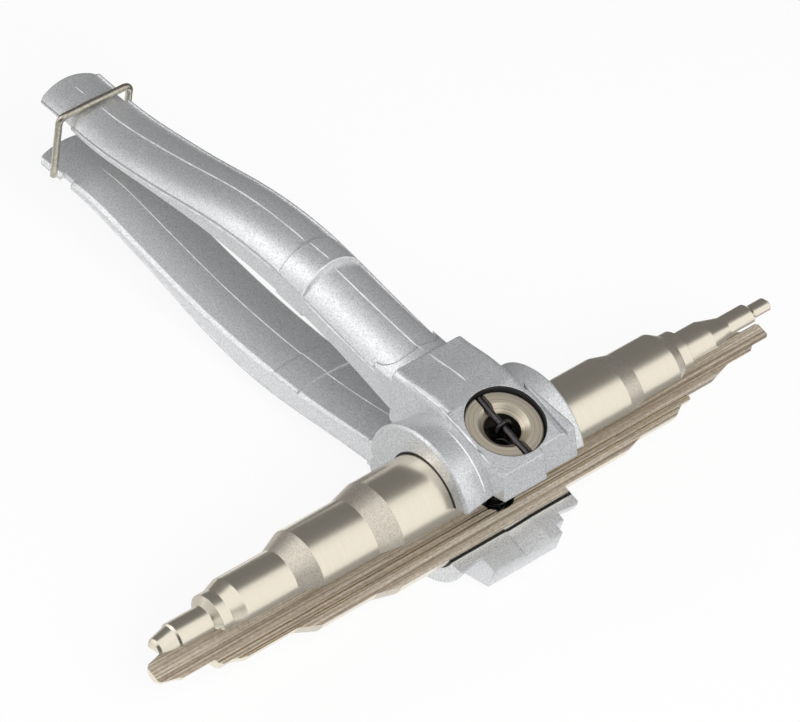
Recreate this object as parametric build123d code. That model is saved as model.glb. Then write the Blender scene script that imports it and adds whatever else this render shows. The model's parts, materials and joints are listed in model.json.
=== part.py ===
from build123d import *
import math
import os

# Hand tube expander with a double-ended, lengthwise split mandrel.
# Millimetres and degrees. X runs along the mandrel, Y towards the handle ends, Z up.
# Each jaw is drawn in its closed pose, with the mandrel axis at y = z = 0 and the
# split plane at z = 0, and is then turned about the hinge into the half-open pose.

# Hinge, close behind the widest step of the mandrel
BODY_R = 11.0
BARREL_R = 4.0
BARREL_TO_MANDREL = 0.2
HINGE_Y = BODY_R + BARREL_TO_MANDREL + BARREL_R
OPEN_HALF = 14.27
BARREL_CLEAR = 0.35
HINGE_PIN_R = 2.2
RUNNING_FIT = 0.05
BARREL_LENGTH = 9.75
PIN_END_SETBACK = 0.3
BLIND_END = 1.5

# Split mandrel: (start, end, radius) of every step, counted outwards from the screw
SHOULDER_X = 15.5
LEFT_STEPS = (
    (0.0, 34.5, BODY_R),
    (40.6, 56.1, 9.5),
    (61.6, 75.4, 7.2),
    (78.8, 81.4, 6.0),
    (82.6, 91.3, 4.0),
)
RIGHT_STEPS = (
    (0.0, SHOULDER_X, BODY_R),
    (SHOULDER_X, 35.2, 9.5),
    (40.1, 51.5, 8.2),
    (54.8, 57.5, 6.3),
    (58.0, 65.8, 5.0),
    (72.3, 79.7, 3.2),
    (81.0, 85.7, 2.2),
)
LEFT_TIP_X = 96.5
LEFT_TIP_R = 2.6
LEFT_TIP_SHOULDER_R = 3.6
RIGHT_TIP_X = 86.5
TIP_CHAMFER = 0.6
SAW_KERF_HALF = 0.12
FACE_LINE_Y = (5.0, 6.6)
FACE_LINE_WIDTH = 0.8
FACE_LINE_DEPTH = 0.5
BORE_CLEAR = 0.10

# Jaw housing, in the closed frame
COLLAR_LEFT_X = -19.5
COLLAR_RIGHT_X = 16.7
COLLAR_LEFT_R = BODY_R + 6.2
COLLAR_RIGHT_R = BODY_R + 5.4
COLLAR_WAIST_R = BODY_R + 4.8
COLLAR_CENTRE_Y = 2.2
COLLAR_EDGE = 0.6
PARTING_Z = 2.0
BLOCK_LEFT_X = -10.6
BLOCK_RIGHT_X = 10.5
BLOCK_EDGE_R = 1.9
BLOCK_FLARE_X = 12.7
BLOCK_FLARE_Y = -2.0
UPPER_PAD_X = (BLOCK_LEFT_X, 2.0)
UPPER_PAD_FRONT = -17.5
BLOCK_FRONT = -15.8
LOWER_PAD_X = (-12.5, 8.0)
LOWER_PAD_FRONT = -18.3
VALLEY_X = (-3.2, 4.4)
VALLEY_DEPTH = 1.3
CREST = ((2.5, 18.7), (8.5, 20.2), (15.0, 21.0))
HEAD_REAR_Y = 23.4
HEAD_REAR_TOP = 20.2
HEAD_REAR_BOTTOM = 5.8
BEVEL_START_Y = 15.3
BEVEL_END = (18.5, 5.2)
RELIEF_Z = 3.3
RELIEF_Y = 8.0

# Slotted hollow screw that holds each mandrel half in its jaw
SCREW_LEAN = 28.0
RIM_OUT = 15.9
FACE_OUT = 14.3
FLANGE_THICK = 2.2
FLANGE_R = 9.25
POCKET_R = 9.5
SHANK_R = 6.0
SHANK_END = 7.5
THREAD_FIT = 0.05
SCREW_HOLE_R = 4.3
COUNTERSINK_R = 6.1
COUNTERSINK_DEPTH = 1.7
SLOT_WIDTH = 2.5
SLOT_DEPTH = 1.6
SCREW_CHAMFER = 0.3

# Cross pins, return spring and the hole it runs through
CROSS_PIN_R = 0.8
CROSS_PIN_LENGTH = 18.3
CROSS_PIN_OUT = FACE_OUT - SLOT_DEPTH + CROSS_PIN_R + 0.03
SPRING_WIRE_R = 0.45
SPRING_MEAN_R = 1.95
SPRING_TURNS = 13
SPRING_BODY_HALF = 12.8
HOOK_CLEAR = 0.20
HOOK_SWEEP = 245.0
SPRING_ELBOW = 0.15
SPRING_HOLE_R = 4.5
SPRING_HOLE_FACE_Y = -2.3
SPRING_HOLE_CHAMFER = 0.5

# Handles, in the half-open frame: (y, crest, ledge, inner face, half width)
STATIONS = (
    (19.0, 18.9, 13.8, 4.8, 10.2),
    (24.0, 19.2, 14.2, 5.8, 10.0),
    (32.0, 19.8, 14.9, 7.3, 9.6),
    (45.0, 21.0, 16.3, 9.7, 9.3),
    (57.0, 22.3, 18.0, 11.3, 9.2),
    (70.0, 23.1, 19.3, 12.1, 9.2),
    (82.0, 22.7, 19.0, 12.2, 9.2),
    (95.0, 20.8, 17.2, 11.6, 9.2),
    (110.0, 17.2, 14.0, 10.0, 9.1),
    (124.0, 14.2, 11.6, 8.1, 9.0),
    (132.0, 12.8, 10.5, 7.1, 8.9),
    (140.0, 12.0, 9.9, 6.9, 8.8),
    (149.0, 11.7, 9.9, 7.6, 8.8),
    (158.0, 11.6, 10.0, 7.9, 8.9),
)
HANDLE_SECTIONS = 17
LEDGE = 0.6
LEDGE_DIP = 0.45
INNER_CROWN = 0.8
INNER_BEVEL = 0.9
NECK_END_Y = 31.2
PANEL_START_Y = 26.5
PANEL_CORNER_R = 4.5
PANEL_SINK = 0.5
RING_START_Y = 57.0
RING_END_Y = 66.0
RING_FRONT_RAISE = 1.4
RING_REAR_RAISE = 0.7
RING_SIDE = 0.35
END_CORNER_R = 2.8
END_BULGE = 1.3
LATCH_GROOVE_Y = (144.2, 148.2)
LATCH_GROOVE_FLOOR = 11.0
LATCH_WAIST_HALF = 7.5

# Wire latch loop over the handle ends
LOOP_WIRE_R = 0.9
LOOP_INNER_HALF = 9.8
LOOP_BAR_Y = 146.2
LOOP_BAR_Z = LATCH_GROOVE_FLOOR + LOOP_WIRE_R + 0.10
LOOP_FOOT_Y = 148.5
LOOP_FOOT_Z = -7.5
LOOP_CORNER_R = 1.9

LONG = 400.0
LEAN_SIN = math.sin(math.radians(SCREW_LEAN))
LEAN_COS = math.cos(math.radians(SCREW_LEAN))
SCREW_PLANE = Plane(origin=(0, 0, 0), x_dir=(1, 0, 0), z_dir=(0, -LEAN_SIN, LEAN_COS))


def opened(shape):
    """Turn a closed-pose shape about the hinge into the half-open pose."""
    return Pos(0, HINGE_Y, 0) * Rot(-OPEN_HALF, 0, 0) * Pos(0, -HINGE_Y, 0) * shape


def opened_point(y, z):
    """Place a closed-pose (y, z) point in the half-open frame."""
    cos_a = math.cos(math.radians(OPEN_HALF))
    sin_a = math.sin(math.radians(OPEN_HALF))
    reach = y - HINGE_Y
    return HINGE_Y + reach * cos_a + z * sin_a, -reach * sin_a + z * cos_a


def closed_point(y, z):
    """Place a half-open (y, z) point in the closed frame."""
    cos_a = math.cos(math.radians(OPEN_HALF))
    sin_a = math.sin(math.radians(OPEN_HALF))
    reach = y - HINGE_Y
    return HINGE_Y + reach * cos_a - z * sin_a, reach * sin_a + z * cos_a


def rod(x0, x1, radius, y=0.0, z=0.0):
    """Round bar along X between two places."""
    bar = Rot(0, 90, 0) * Cylinder(radius, x1 - x0)
    return Pos((x0 + x1) / 2, y, z) * bar


def slab(x0, x1, y0, y1, z0, z1):
    """Box between three pairs of limits."""
    return Pos((x0 + x1) / 2, (y0 + y1) / 2, (z0 + z1) / 2) * Box(x1 - x0, y1 - y0, z1 - z0)


def along_screw(radius, start, end):
    """Round bar on the screw axis between two distances from the mandrel axis."""
    return SCREW_PLANE * (Pos(0, 0, (start + end) / 2) * Cylinder(radius, end - start))


def prism(points, x0, x1):
    """Closed (y, z) outline pulled along X."""
    face = make_face(Polyline(*points, close=True))
    return extrude(Plane.YZ.offset(x0) * face, amount=x1 - x0)


# Split mandrel.


def mandrel_outline():
    """Stepped half outline of the whole mandrel as (x, radius) points."""
    left = [(-x, r) for start, end, r in LEFT_STEPS for x in (start, end)]
    right = [(x, r) for start, end, r in RIGHT_STEPS for x in (start, end)]
    left_end = [
        (-LEFT_STEPS[-1][1] - FACE_LINE_DEPTH, LEFT_TIP_SHOULDER_R),
        (-LEFT_TIP_X + TIP_CHAMFER, LEFT_TIP_R),
        (-LEFT_TIP_X, LEFT_TIP_R - TIP_CHAMFER),
        (-LEFT_TIP_X, 0),
    ]
    right_end = [
        (RIGHT_TIP_X, RIGHT_STEPS[-1][2] - TIP_CHAMFER),
        (RIGHT_TIP_X, 0),
    ]
    return list(reversed(left_end)) + list(reversed(left[1:])) + right[1:] + right_end


def mandrel_half():
    """Upper half of the mandrel in the closed frame."""
    outline = make_face(Polyline(*mandrel_outline(), close=True))
    whole = revolve(outline, axis=Axis.X, revolution_arc=360)
    half = whole & slab(-LONG, LONG, -LONG, LONG, SAW_KERF_HALF, LONG)
    for side in (-1, 1):
        for line_y in FACE_LINE_Y:
            vee = [
                (side * line_y - FACE_LINE_WIDTH / 2, 0.0),
                (side * line_y + FACE_LINE_WIDTH / 2, 0.0),
                (side * line_y, SAW_KERF_HALF + FACE_LINE_DEPTH),
            ]
            half -= prism(vee, -LONG / 2, LONG / 2)
    half -= along_screw(SHANK_R + THREAD_FIT, SHANK_END, LONG / 2)
    half -= spring_hole()
    return half


def spring_hole():
    """Hole from the screw's bore down to the split face, with its lip chamfer."""
    top_y = -LEAN_SIN * SHANK_END
    top_z = LEAN_COS * SHANK_END
    run = Vector(0, top_y - SPRING_HOLE_FACE_Y, top_z)
    foot = Plane(origin=(0, SPRING_HOLE_FACE_Y, 0), x_dir=(1, 0, 0), z_dir=run.normalized())
    reach = run.length + 2 * FLANGE_THICK
    hole = foot * (Pos(0, 0, reach / 2 - FLANGE_THICK) * Cylinder(SPRING_HOLE_R, reach))
    lip = foot * (
        Pos(0, 0, SAW_KERF_HALF + SPRING_HOLE_CHAMFER / 2)
        * Cone(SPRING_HOLE_R + SPRING_HOLE_CHAMFER, SPRING_HOLE_R, SPRING_HOLE_CHAMFER)
    )
    return hole + lip


# Slotted screw, cross pin and hinge pin.


def screw():
    """Flanged hollow screw in the closed frame."""
    seat = FACE_OUT - FLANGE_THICK
    flange = Pos(0, 0, (seat + FACE_OUT) / 2) * Cylinder(FLANGE_R, FLANGE_THICK)
    rims = flange.edges().filter_by(GeomType.CIRCLE)
    flange = chamfer(rims, SCREW_CHAMFER)
    shank = Pos(0, 0, (SHANK_END + seat) / 2) * Cylinder(SHANK_R, seat - SHANK_END)
    foot_rim = shank.edges().filter_by(GeomType.CIRCLE).sort_by(Axis.Z)[0]
    shank = chamfer(foot_rim, SCREW_CHAMFER)
    body = flange + shank
    body -= Pos(0, 0, (SHANK_END + FACE_OUT) / 2) * Cylinder(SCREW_HOLE_R, LONG)
    sink_middle = FACE_OUT - COUNTERSINK_DEPTH / 2
    body -= Pos(0, 0, sink_middle) * Cone(SCREW_HOLE_R, COUNTERSINK_R, COUNTERSINK_DEPTH)
    body -= Pos(0, 0, FACE_OUT) * Box(SLOT_WIDTH, LONG, 2 * SLOT_DEPTH)
    return SCREW_PLANE * body


def cross_pin():
    """Pin across the screw's slot that the spring hooks on to."""
    pin = Rot(90, 0, 0) * Cylinder(CROSS_PIN_R, CROSS_PIN_LENGTH)
    ends = pin.edges().filter_by(GeomType.CIRCLE)
    pin = chamfer(ends, CROSS_PIN_R / 5)
    return SCREW_PLANE * (Pos(0, 0, CROSS_PIN_OUT) * pin)


def hinge_pin():
    """Plain pin through all four hinge barrels."""
    start = COLLAR_LEFT_X + BLIND_END + RUNNING_FIT
    end = COLLAR_RIGHT_X - PIN_END_SETBACK
    pin = rod(start, end, HINGE_PIN_R, HINGE_Y)
    return chamfer(pin.edges().filter_by(GeomType.CIRCLE), PIN_END_SETBACK)


# Castings.


def top_plane_z(y):
    """Height of the leaning top face of the block at a given y."""
    return (RIM_OUT + LEAN_SIN * y) / LEAN_COS


def head_body(x0, x1, front_y):
    """Block and head: leaning top face, curved crest, end face towards the handle."""
    rear_top = closed_point(HEAD_REAR_Y, HEAD_REAR_TOP)
    rear_foot = closed_point(HEAD_REAR_Y, HEAD_REAR_BOTTOM)
    front = Polyline(
        rear_top,
        rear_foot,
        BEVEL_END,
        (BEVEL_START_Y, PARTING_Z),
        (front_y, PARTING_Z),
        (front_y, top_plane_z(front_y)),
        (0, top_plane_z(0)),
    )
    crest = Spline((0, top_plane_z(0)), *CREST, rear_top)
    face = make_face(front + crest)
    body = extrude(Plane.YZ.offset(x0) * face, amount=x1 - x0)
    sides = body.edges().filter_by(
        lambda e: abs(e.center().X - x0) < 0.01 or abs(e.center().X - x1) < 0.01
    )
    shoulders = sides.filter_by(lambda e: e.center().Z > top_plane_z(front_y) and e.length > BLOCK_FRONT * -1)
    return fillet(shoulders, BLOCK_EDGE_R)


def collar():
    """Round housing on both sides of the block."""
    outline = Polyline(
        (COLLAR_LEFT_X, 0),
        (COLLAR_LEFT_X, COLLAR_LEFT_R - COLLAR_EDGE),
        (COLLAR_LEFT_X + COLLAR_EDGE, COLLAR_LEFT_R),
        (BLOCK_LEFT_X, COLLAR_WAIST_R),
        (BLOCK_RIGHT_X, COLLAR_WAIST_R),
        (COLLAR_RIGHT_X - COLLAR_EDGE, COLLAR_RIGHT_R),
        (COLLAR_RIGHT_X, COLLAR_RIGHT_R - COLLAR_EDGE),
        (COLLAR_RIGHT_X, 0),
        close=True,
    )
    ring = revolve(make_face(outline), axis=Axis.X, revolution_arc=360)
    ring = Pos(0, COLLAR_CENTRE_Y, 0) * ring
    ring &= slab(-LONG, LONG, -LONG, LONG, PARTING_Z, LONG)
    bevel = [
        (BEVEL_START_Y, PARTING_Z),
        BEVEL_END,
        (BEVEL_END[0] + LONG / 10, BEVEL_END[1] + LONG / 10),
        (BEVEL_END[0] + LONG / 10, 0),
        (BEVEL_START_Y, 0),
    ]
    return ring - prism(bevel, -LONG / 2, LONG / 2)


def barrels(own):
    """The two hinge barrels of one casting, or the room for the other casting's."""
    starts = (COLLAR_LEFT_X, COLLAR_LEFT_X + 2 * BARREL_LENGTH)
    if not own:
        starts = (COLLAR_LEFT_X + BARREL_LENGTH, COLLAR_LEFT_X + 3 * BARREL_LENGTH)
    return [(x, min(x + BARREL_LENGTH, COLLAR_RIGHT_X)) for x in starts]


def block_outline(front_y):
    """Side outline of a front pad under the leaning top face."""
    return [
        (front_y, PARTING_Z),
        (front_y, top_plane_z(front_y)),
        (0, top_plane_z(0)),
        (0, PARTING_Z),
    ]


def flare():
    """Wedge that widens the upper block towards its front right corner."""
    plan = Polyline(
        (BLOCK_RIGHT_X, BLOCK_FRONT),
        (BLOCK_FLARE_X, BLOCK_FRONT),
        (BLOCK_FLARE_X, BLOCK_FRONT - BLOCK_FLARE_Y),
        (BLOCK_RIGHT_X, BLOCK_FLARE_Y),
        close=True,
    )
    column = extrude(make_face(plan), amount=LONG / 4)
    return column & prism(block_outline(BLOCK_FRONT), BLOCK_RIGHT_X, BLOCK_FLARE_X)


def valley():
    """Dip across the lower block's front lip: a step on the left, a slope on the right."""
    left, right = VALLEY_X
    floor_z = PARTING_Z + VALLEY_DEPTH
    step = Polyline((right, PARTING_Z), (right, 0), (left, 0), (left, floor_z))
    slope = ThreePointArc(
        (left, floor_z),
        ((left + right) / 2, PARTING_Z + VALLEY_DEPTH * 2 / 3),
        (right, PARTING_Z),
    )
    face = Plane.XZ.offset(LONG / 10) * make_face(step + slope)
    return extrude(face, amount=-LONG / 10)


def jaw(lower):
    """Jaw housing of one casting in the closed frame."""
    body = head_body(BLOCK_LEFT_X, BLOCK_RIGHT_X, BLOCK_FRONT)
    pad_x = LOWER_PAD_X if lower else UPPER_PAD_X
    pad_front = LOWER_PAD_FRONT if lower else UPPER_PAD_FRONT
    body += prism(block_outline(pad_front), *pad_x)
    body += collar()
    if lower:
        body -= valley()
    else:
        body += flare()
    for x0, x1 in barrels(not lower):
        body += rod(x0 + RUNNING_FIT, x1 - RUNNING_FIT, BARREL_R, HINGE_Y)
    for x0, x1 in barrels(lower):
        body -= rod(x0 - RUNNING_FIT, x1 + RUNNING_FIT, BARREL_R + BARREL_CLEAR, HINGE_Y)
        body -= slab(x0 - RUNNING_FIT, x1 + RUNNING_FIT, RELIEF_Y, HEAD_REAR_Y, 0, RELIEF_Z)
    body -= rod(-LONG, SHOULDER_X + BORE_CLEAR, BODY_R + BORE_CLEAR)
    body -= rod(SHOULDER_X, LONG, RIGHT_STEPS[1][2] + BORE_CLEAR)
    body -= rod(COLLAR_LEFT_X + BLIND_END, LONG, HINGE_PIN_R + RUNNING_FIT, HINGE_Y)
    body -= along_screw(POCKET_R, FACE_OUT - FLANGE_THICK, LONG / 2)
    body -= along_screw(SHANK_R + 2 * THREAD_FIT, SHANK_END, LONG / 2)
    return body


def handle_section(station, ledge=LEDGE, raise_by=0.0, widen=0.0):
    """Cross-section of the handle: dome, ledge, flat side, bevel, crowned inner face."""
    y, crest, ledge_z, inner, half = station
    half += widen
    crest += raise_by
    inner -= widen
    foot = inner + INNER_CROWN
    side = foot + INNER_BEVEL
    dome_half = half - ledge
    dome_z = ledge_z - (LEDGE_DIP if ledge > 0 else 0.0)
    outline = (
        ThreePointArc((-half + INNER_BEVEL, foot), (0, inner), (half - INNER_BEVEL, foot))
        + Line((half - INNER_BEVEL, foot), (half, side))
        + Line((half, side), (half, ledge_z))
    )
    if ledge > 0:
        outline += Line((half, ledge_z), (dome_half, dome_z))
    outline += ThreePointArc((dome_half, dome_z), (0, crest), (-dome_half, dome_z))
    if ledge > 0:
        outline += Line((-dome_half, dome_z), (-half, ledge_z))
    outline += Line((-half, ledge_z), (-half, side))
    outline += Line((-half, side), (-half + INNER_BEVEL, foot))
    return Plane.XZ.offset(-y) * make_face(outline)


def station_bends(column):
    """Bend of one station value at every row, for a natural spline through the rows."""
    ys = [row[0] for row in STATIONS]
    values = [row[column] for row in STATIONS]
    ratios, parts = [0.0], [0.0]
    for i in range(1, len(ys) - 1):
        before = ys[i] - ys[i - 1]
        after = ys[i + 1] - ys[i]
        turn = (values[i + 1] - values[i]) / after - (values[i] - values[i - 1]) / before
        pivot = 2 * (before + after) - before * ratios[-1]
        ratios.append(after / pivot)
        parts.append((6 * turn - before * parts[-1]) / pivot)
    bends = [0.0]
    for ratio, part in zip(reversed(ratios), reversed(parts)):
        bends.append(part - ratio * bends[-1])
    return list(reversed(bends))


def station_at(y):
    """Station values at any y, on the natural spline through the rows."""
    index = max(i for i, row in enumerate(STATIONS[:-1]) if row[0] <= y)
    low, high = STATIONS[index], STATIONS[index + 1]
    span = high[0] - low[0]
    b = (y - low[0]) / span
    a = 1 - b
    row = [y]
    for column in range(1, len(low)):
        bends = station_bends(column)
        sag = (a**3 - a) * bends[index] + (b**3 - b) * bends[index + 1]
        row.append(a * low[column] + b * high[column] + sag * span**2 / 6)
    return row


def handle():
    """Handle with its sunken panel, ring, latch groove and end knob."""
    first, last = STATIONS[0][0], STATIONS[-1][0]
    pitch = (last - first) / (HANDLE_SECTIONS - 1)
    rows = [station_at(first + pitch * index) for index in range(HANDLE_SECTIONS)]
    body = loft([handle_section(row) for row in rows])
    neck_pitch = (NECK_END_Y - first) / 3
    neck_rows = [station_at(first + neck_pitch * index) for index in range(4)]
    neck = loft([handle_section(row, 0.0, PANEL_SINK) for row in neck_rows])
    panel_half = STATIONS[2][4] - 2 * LEDGE
    panel = RectangleRounded(2 * panel_half, LONG / 4, PANEL_CORNER_R)
    window = extrude(Pos(0, PANEL_START_Y + LONG / 8, 0) * panel, amount=LONG / 4)
    body += neck - window
    ring_front = handle_section(station_at(RING_START_Y), LEDGE, RING_FRONT_RAISE, RING_SIDE)
    ring_rear = handle_section(station_at(RING_END_Y), LEDGE, RING_REAR_RAISE, RING_SIDE)
    body += loft([ring_front, ring_rear], ruled=True)
    return shape_end(body)


def shape_end(body):
    """Cut the latch groove and round the knob at the handle's end."""
    start, end = LATCH_GROOVE_Y
    body -= slab(-LONG, LONG, start, end, LATCH_GROOVE_FLOOR, LONG)
    notch = slab(LATCH_WAIST_HALF, LONG, start, end, -LONG / 10, LONG)
    body -= [notch, mirror(notch, about=Plane.YZ)]
    end_y, half = STATIONS[-1][0], STATIONS[-1][4] + LEDGE / 2
    corner_y = end_y - END_BULGE
    sides = Polyline((half, corner_y), (half, 0), (-half, 0), (-half, corner_y))
    bulge = ThreePointArc((-half, corner_y), (0, end_y), (half, corner_y))
    plan = make_face(sides + bulge)
    plan = fillet(plan.vertices().filter_by(lambda v: v.Y > HINGE_Y), END_CORNER_R)
    keep = extrude(plan, amount=LONG / 4, both=True)
    return body & keep


def casting(lower):
    """One whole casting in the half-open pose."""
    body = opened(jaw(lower)) + handle()
    screw_room = along_screw(POCKET_R, FACE_OUT - FLANGE_THICK, LONG / 2)
    body -= opened(screw_room)
    return body


# Return spring.


def return_spring():
    """Tension spring between the two cross pins, hooks included."""
    pin_y, pin_z = opened_point(-LEAN_SIN * CROSS_PIN_OUT, LEAN_COS * CROSS_PIN_OUT)
    hook_top = pin_z + CROSS_PIN_R + SPRING_WIRE_R + HOOK_CLEAR
    ring_z = hook_top - SPRING_MEAN_R
    coil_path = Helix(
        pitch=2 * SPRING_BODY_HALF / SPRING_TURNS,
        height=2 * SPRING_BODY_HALF,
        radius=SPRING_MEAN_R,
        center=(0, 0, -SPRING_BODY_HALF),
    )
    start = Plane(origin=coil_path @ 0, z_dir=coil_path % 0)
    coil = sweep(start * Circle(SPRING_WIRE_R), path=coil_path, is_frenet=True)
    elbow_z = SPRING_BODY_HALF - SPRING_ELBOW
    leg = Line((SPRING_MEAN_R, 0, elbow_z), (SPRING_MEAN_R, 0, ring_z))
    hook_plane = Plane(origin=(0, 0, ring_z), x_dir=(1, 0, 0), z_dir=(0, -1, 0))
    bend = hook_plane * CenterArc((0, 0), SPRING_MEAN_R, 0, HOOK_SWEEP)
    foot = Plane(origin=(SPRING_MEAN_R, 0, elbow_z), z_dir=(0, 0, 1))
    hook = sweep(foot * Circle(SPRING_WIRE_R), path=leg + bend)
    elbow = Pos(SPRING_MEAN_R, 0, SPRING_BODY_HALF) * Sphere(SPRING_WIRE_R + SPRING_ELBOW)
    other = Rot(180, 0, 0)
    whole = coil + [elbow, other * elbow] + [hook, other * hook]
    return Pos(0, pin_y, 0) * whole


# Wire latch loop.


def latch_loop():
    """Wire bail whose crossbar lies in the upper handle's end groove."""
    half = LOOP_INNER_HALF + LOOP_WIRE_R
    path = FilletPolyline(
        (-half, LOOP_FOOT_Y, LOOP_FOOT_Z),
        (-half, LOOP_BAR_Y, LOOP_BAR_Z),
        (half, LOOP_BAR_Y, LOOP_BAR_Z),
        (half, LOOP_FOOT_Y, LOOP_FOOT_Z),
        radius=LOOP_CORNER_R,
    )
    start = Plane(origin=path @ 0, z_dir=path % 0)
    wire = sweep(start * Circle(LOOP_WIRE_R), path=path)
    return wire


# Assembly, at rest on its lower casting.


def rest_turn():
    """Turn about X that puts the lower head and the lower ring on one level."""
    head_y, head_z = opened_point(*CREST[1])
    ring_y = RING_START_Y
    ring_z = station_at(RING_START_Y)[1] + RING_FRONT_RAISE
    return math.degrees(math.atan2(ring_z - head_z, ring_y - head_y))


def main():
    """Build every node, lay the tool down and write one file per node."""
    os.makedirs("parts", exist_ok=True)
    half = opened(mandrel_half())
    clamp = opened(screw())
    pin = opened(cross_pin())
    nodes = {
        "upper_handle": casting(False),
        "lower_handle": mirror(casting(True), about=Plane.XY),
        "upper_mandrel_half": half,
        "lower_mandrel_half": mirror(half, about=Plane.XY),
        "upper_jaw_screw": clamp,
        "lower_jaw_screw": mirror(clamp, about=Plane.XY),
        "upper_spring_pin": pin,
        "lower_spring_pin": mirror(pin, about=Plane.XY),
        "return_spring": return_spring(),
        "hinge_pin": hinge_pin(),
        "handle_latch_loop": latch_loop(),
    }
    turn = Rot(rest_turn(), 0, 0)
    laid = {name: turn * shape for name, shape in nodes.items()}
    box = Compound(children=[Compound(shape.solids()) for shape in laid.values()]).bounding_box()
    lift = Pos(-box.center().X, -box.center().Y, -box.min.Z)
    hinge = lift * turn * Pos(0, HINGE_Y, 0)
    bar = lift * turn * Pos(0, LOOP_BAR_Y, LOOP_BAR_Z)
    print("turn", round(rest_turn(), 4))
    print("mid origin", tuple((lift * turn).position))
    print("hinge", tuple(hinge.position))
    print("loop bar", tuple(bar.position))
    for name, shape in laid.items():
        placed = lift * shape
        solids = placed.solids()
        print(name, len(solids), round(placed.volume, 1))
        export_step(Compound(solids) if len(solids) > 1 else solids[0], f"parts/{name}.step")


main()
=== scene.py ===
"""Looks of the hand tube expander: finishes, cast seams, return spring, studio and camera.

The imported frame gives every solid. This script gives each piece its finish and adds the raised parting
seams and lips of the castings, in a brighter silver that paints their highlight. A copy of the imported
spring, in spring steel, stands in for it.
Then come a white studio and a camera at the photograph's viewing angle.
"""

import json
import logging
import math
from dataclasses import dataclass, field
from enum import Enum
from typing import Any, Callable, Iterable

import bpy
from mathutils import Matrix, Vector
from mathutils.bvhtree import BVHTree

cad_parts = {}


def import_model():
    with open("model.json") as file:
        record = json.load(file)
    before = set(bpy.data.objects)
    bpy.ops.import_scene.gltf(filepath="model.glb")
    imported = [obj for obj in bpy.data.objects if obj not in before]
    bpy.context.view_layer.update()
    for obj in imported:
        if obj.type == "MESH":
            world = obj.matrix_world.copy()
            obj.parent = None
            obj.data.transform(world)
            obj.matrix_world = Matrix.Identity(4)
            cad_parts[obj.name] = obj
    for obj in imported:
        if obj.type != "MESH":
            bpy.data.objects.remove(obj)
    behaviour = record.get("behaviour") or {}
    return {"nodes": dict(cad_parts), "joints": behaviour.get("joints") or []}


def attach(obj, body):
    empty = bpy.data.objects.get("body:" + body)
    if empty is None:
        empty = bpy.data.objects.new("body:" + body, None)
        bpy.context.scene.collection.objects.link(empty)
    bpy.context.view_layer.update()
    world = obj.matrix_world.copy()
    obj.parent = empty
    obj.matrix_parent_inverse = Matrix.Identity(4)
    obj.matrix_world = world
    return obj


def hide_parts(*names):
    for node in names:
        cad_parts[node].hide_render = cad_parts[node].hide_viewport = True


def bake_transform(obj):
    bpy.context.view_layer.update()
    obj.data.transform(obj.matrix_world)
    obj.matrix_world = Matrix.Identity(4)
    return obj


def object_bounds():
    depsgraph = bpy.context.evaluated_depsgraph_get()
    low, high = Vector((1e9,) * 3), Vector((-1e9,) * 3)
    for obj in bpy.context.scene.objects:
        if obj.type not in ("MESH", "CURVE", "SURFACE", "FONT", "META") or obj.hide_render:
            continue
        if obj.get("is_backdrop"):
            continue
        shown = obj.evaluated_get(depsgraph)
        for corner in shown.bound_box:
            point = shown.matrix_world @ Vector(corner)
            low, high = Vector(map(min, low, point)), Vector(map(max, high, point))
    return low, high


LOG = logging.getLogger("tube_expander")
MM = 0.001
EDGE_SAMPLES = 4
MIX_INPUTS = (0, 6, 7)
MIX_RESULT = 2
MANDREL_AXIS = Vector((1.0, 0.0, 0.0))

Colour = tuple[float, float, float]
Point = tuple[float, float, float]
Pair = tuple[float, float]
Socket = bpy.types.NodeSocket
Shot = tuple[Vector, Vector]
SurfacePath = list[tuple[Vector, Vector]]


def spaced(start: float, end: float, count: int) -> list[float]:
    """Even places from start to end, in count equal steps."""
    return [start + (end - start) * index / count for index in range(count + 1)]


class Side(Enum):
    """Which casting a piece belongs to."""

    UPPER = 1
    LOWER = -1

    @property
    def body(self) -> str:
        """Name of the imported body."""
        return "upper" if self is Side.UPPER else "lower"

    @property
    def handle_node(self) -> str:
        """Name of the casting's node."""
        return f"{self.body}_handle"


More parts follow.
